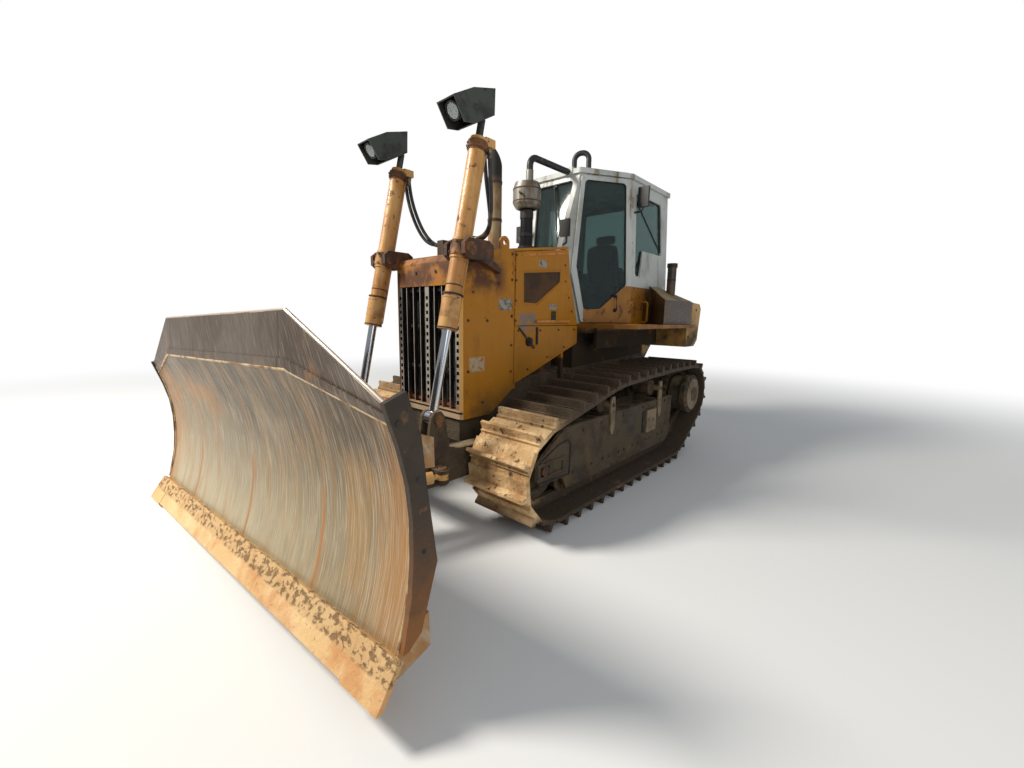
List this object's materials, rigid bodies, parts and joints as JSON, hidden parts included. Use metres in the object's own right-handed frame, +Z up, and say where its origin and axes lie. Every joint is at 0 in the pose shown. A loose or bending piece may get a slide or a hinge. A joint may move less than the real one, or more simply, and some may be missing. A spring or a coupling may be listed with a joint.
{
  "type": "crawler dozer with an angling and tilting blade",
  "caption": "Tracked bulldozer with a cab, tall lift cylinders on the radiator guard, and a wide concave blade that lifts, angles and tilts.",
  "frame": {"origin": "on the ground, below the middle of the machine with its blade", "axes": "+X forward to the blade, +Y to the machine's left, +Z up"},
  "size_m": [5.6, 3.5157, 3.468],
  "materials": {
    "barrel_paint": "pale tan-yellow enamel",
    "black_metal": "black enamel",
    "blade_steel": "worn bare steel with rust streaks",
    "body_paint": "weathered orange-yellow enamel",
    "cab_glass": "tinted safety glass",
    "cab_white": "light grey-white enamel",
    "chrome_rod": "hard chrome",
    "console_plastic": "matt",
    "dark_steel": "dark rusty steel",
    "duct_rubber": "weathered matt rubber",
    "edge_steel": "pitted steel with dirt",
    "engine_metal": "oily castings",
    "exhaust_steel": "heat-stained enamel",
    "frame_paint": "paint under dried mud",
    "grille_black": "black enamel, worn edges",
    "hose_rubber": "matt rubber",
    "lamp_housing": "grey-green enamel",
    "seat_fabric": "dark fabric",
    "tank_paint": "paint under oil and dust",
    "track_steel": "bare steel with dried clay"
  },
  "bodies": {
    "root": {"cab_base": "body_paint", "cab_frame": "cab_white", "cab_glass": "cab_glass", "cab_roof": "cab_white", "carrier_rollers": "frame_paint", "console": "console_plastic", "cylinder_brackets": "dark_steel", "decks": "body_paint", "drawbar": "dark_steel", "ducts": "duct_rubber", "engine": "engine_metal", "exhaust": "exhaust_steel", "fuel_tank": "body_paint", "grille": "grille_black", "handrails": "body_paint", "hood": "body_paint", "hull": "frame_paint", "idlers": "frame_paint", "mirrors": "black_metal", "precleaner": "black_metal", "radiator": "black_metal", "radiator_guard": "body_paint", "seat": "seat_fabric", "side_panels": "body_paint", "side_tanks": "tank_paint", "sprockets": "frame_paint", "track_frames": "frame_paint", "track_left": "track_steel", "track_right": "track_steel", "track_rollers": "frame_paint"},
    "push_frame": {"push_frame": "frame_paint"},
    "carrier": {"blade_carrier": "dark_steel"},
    "blade": {"moldboard": "blade_steel", "spill_guard": "blade_steel", "end_plates": "dark_steel", "cutting_edges": "edge_steel"},
    "lift_barrel_left": {"lift_barrel_left": "barrel_paint", "lamp_box_left": "lamp_housing", "hose_left_outer": "hose_rubber", "hose_left_inner": "hose_rubber"},
    "lift_barrel_right": {"lift_barrel_right": "barrel_paint", "lamp_box_right": "lamp_housing", "hose_right_outer": "hose_rubber", "hose_right_inner": "hose_rubber"},
    "lift_rod_left": {"lift_rod_left": "chrome_rod"},
    "lift_rod_right": {"lift_rod_right": "chrome_rod"},
    "angle_barrel_left": {"angle_barrel_left": "barrel_paint"},
    "angle_barrel_right": {"angle_barrel_right": "barrel_paint"},
    "angle_rod_left": {"angle_rod_left": "chrome_rod"},
    "angle_rod_right": {"angle_rod_right": "chrome_rod"},
    "tilt_barrel": {"tilt_barrel": "barrel_paint"},
    "tilt_rod": {"tilt_rod": "chrome_rod"},
    "cab_door_left": {"cab_door_left": "cab_white", "door_glass_left": "cab_glass"},
    "cab_door_right": {"cab_door_right": "cab_white", "door_glass_right": "cab_glass"},
    "engine_door_left": {"engine_door_left": "body_paint"},
    "engine_door_right": {"engine_door_right": "body_paint"}
  },
  "joints": [
    {"name": "blade_lift", "type": "hinge", "parent": "root", "child": "push_frame", "pos_m": [-0.7, 0, 0.48], "axis": [0, -1, 0], "range_deg": [-9.4, 16.5]},
    {"name": "blade_angle", "type": "hinge", "parent": "push_frame", "child": "carrier", "pos_m": [2.29, 0, 0.49], "axis": [0, 0, 1], "range_deg": [-28.65, 21.35]},
    {"name": "blade_tilt", "type": "hinge", "parent": "carrier", "child": "blade", "pos_m": [2.29, 0, 0.49], "axis": [0.998, 0.0637, 0], "range_deg": [-10, 6]},
    {"name": "lift_barrel_swing_left", "type": "hinge", "parent": "root", "child": "lift_barrel_left", "pos_m": [1.103, 0.54, 2.15], "axis": [0, -1, 0], "range_deg": [-3, 3]},
    {"name": "lift_rod_slide_left", "type": "slide", "parent": "lift_barrel_left", "child": "lift_rod_left", "axis": [0.2173, 0, -0.9761], "range_m": [-0.62, 0.36]},
    {"name": "angle_barrel_swing_left", "type": "hinge", "parent": "push_frame", "child": "angle_barrel_left", "pos_m": [1.42, 0.7, 0.49], "axis": [0, 0, 1], "range_deg": [-14, 14]},
    {"name": "angle_rod_slide_left", "type": "slide", "parent": "angle_barrel_left", "child": "angle_rod_left", "axis": [0.9465, -0.3228, 0], "range_m": [-0.26, 0.26]},
    {"name": "lift_barrel_swing_right", "type": "hinge", "parent": "root", "child": "lift_barrel_right", "pos_m": [1.103, -0.54, 2.15], "axis": [0, -1, 0], "range_deg": [-3, 3]},
    {"name": "lift_rod_slide_right", "type": "slide", "parent": "lift_barrel_right", "child": "lift_rod_right", "axis": [0.2173, 0, -0.9761], "range_m": [-0.62, 0.36]},
    {"name": "angle_barrel_swing_right", "type": "hinge", "parent": "push_frame", "child": "angle_barrel_right", "pos_m": [1.42, -0.7, 0.49], "axis": [0, 0, 1], "range_deg": [-14, 14]},
    {"name": "angle_rod_slide_right", "type": "slide", "parent": "angle_barrel_right", "child": "angle_rod_right", "axis": [0.9556, 0.2945, 0], "range_m": [-0.26, 0.26]},
    {"name": "tilt_barrel_swing", "type": "hinge", "parent": "carrier", "child": "tilt_barrel", "pos_m": [2.32193, 0.00204, 0.89], "axis": [0.998, 0.0637, 0], "range_deg": [-12, 12]},
    {"name": "tilt_rod_slide", "type": "slide", "parent": "tilt_barrel", "child": "tilt_rod", "axis": [0.0636, -0.9974, -0.0346], "range_m": [-0.09, 0.08]},
    {"name": "cab_door_left_hinge", "type": "hinge", "parent": "root", "child": "cab_door_left", "pos_m": [-1.34593, 0.72995, 1.59242], "axis": [0.035, -0.0375, 0.9987], "range_deg": [0, 110]},
    {"name": "cab_door_right_hinge", "type": "hinge", "parent": "root", "child": "cab_door_right", "pos_m": [-1.34593, -0.72995, 1.59242], "axis": [-0.035, -0.0375, -0.9987], "range_deg": [0, 110]},
    {"name": "engine_door_left_hinge", "type": "hinge", "parent": "root", "child": "engine_door_left", "pos_m": [0.393, 0.466, 1.9], "axis": [0, 0, -1], "range_deg": [0, 100]},
    {"name": "engine_door_right_hinge", "type": "hinge", "parent": "root", "child": "engine_door_right", "pos_m": [0.393, -0.466, 1.9], "axis": [0, 0, 1], "range_deg": [0, 100]}
  ],
  "couplings": [
    {"joint": "lift_barrel_swing_left", "follows": "blade_lift", "ratio": -0.17623},
    {"joint": "lift_rod_slide_left", "follows": "blade_lift", "m_per_rad": -2.106},
    {"joint": "angle_barrel_swing_left", "follows": "blade_angle", "ratio": -0.22297},
    {"joint": "angle_rod_slide_left", "follows": "blade_angle", "m_per_rad": -0.39212},
    {"joint": "lift_barrel_swing_right", "follows": "blade_lift", "ratio": -0.17623},
    {"joint": "lift_rod_slide_right", "follows": "blade_lift", "m_per_rad": -2.106},
    {"joint": "angle_barrel_swing_right", "follows": "blade_angle", "ratio": -0.26105},
    {"joint": "angle_rod_slide_right", "follows": "blade_angle", "m_per_rad": 0.37802},
    {"joint": "tilt_barrel_swing", "follows": "blade_tilt", "ratio": 1.0086},
    {"joint": "tilt_rod_slide", "follows": "blade_tilt", "m_per_rad": 0.39929}
  ]
}
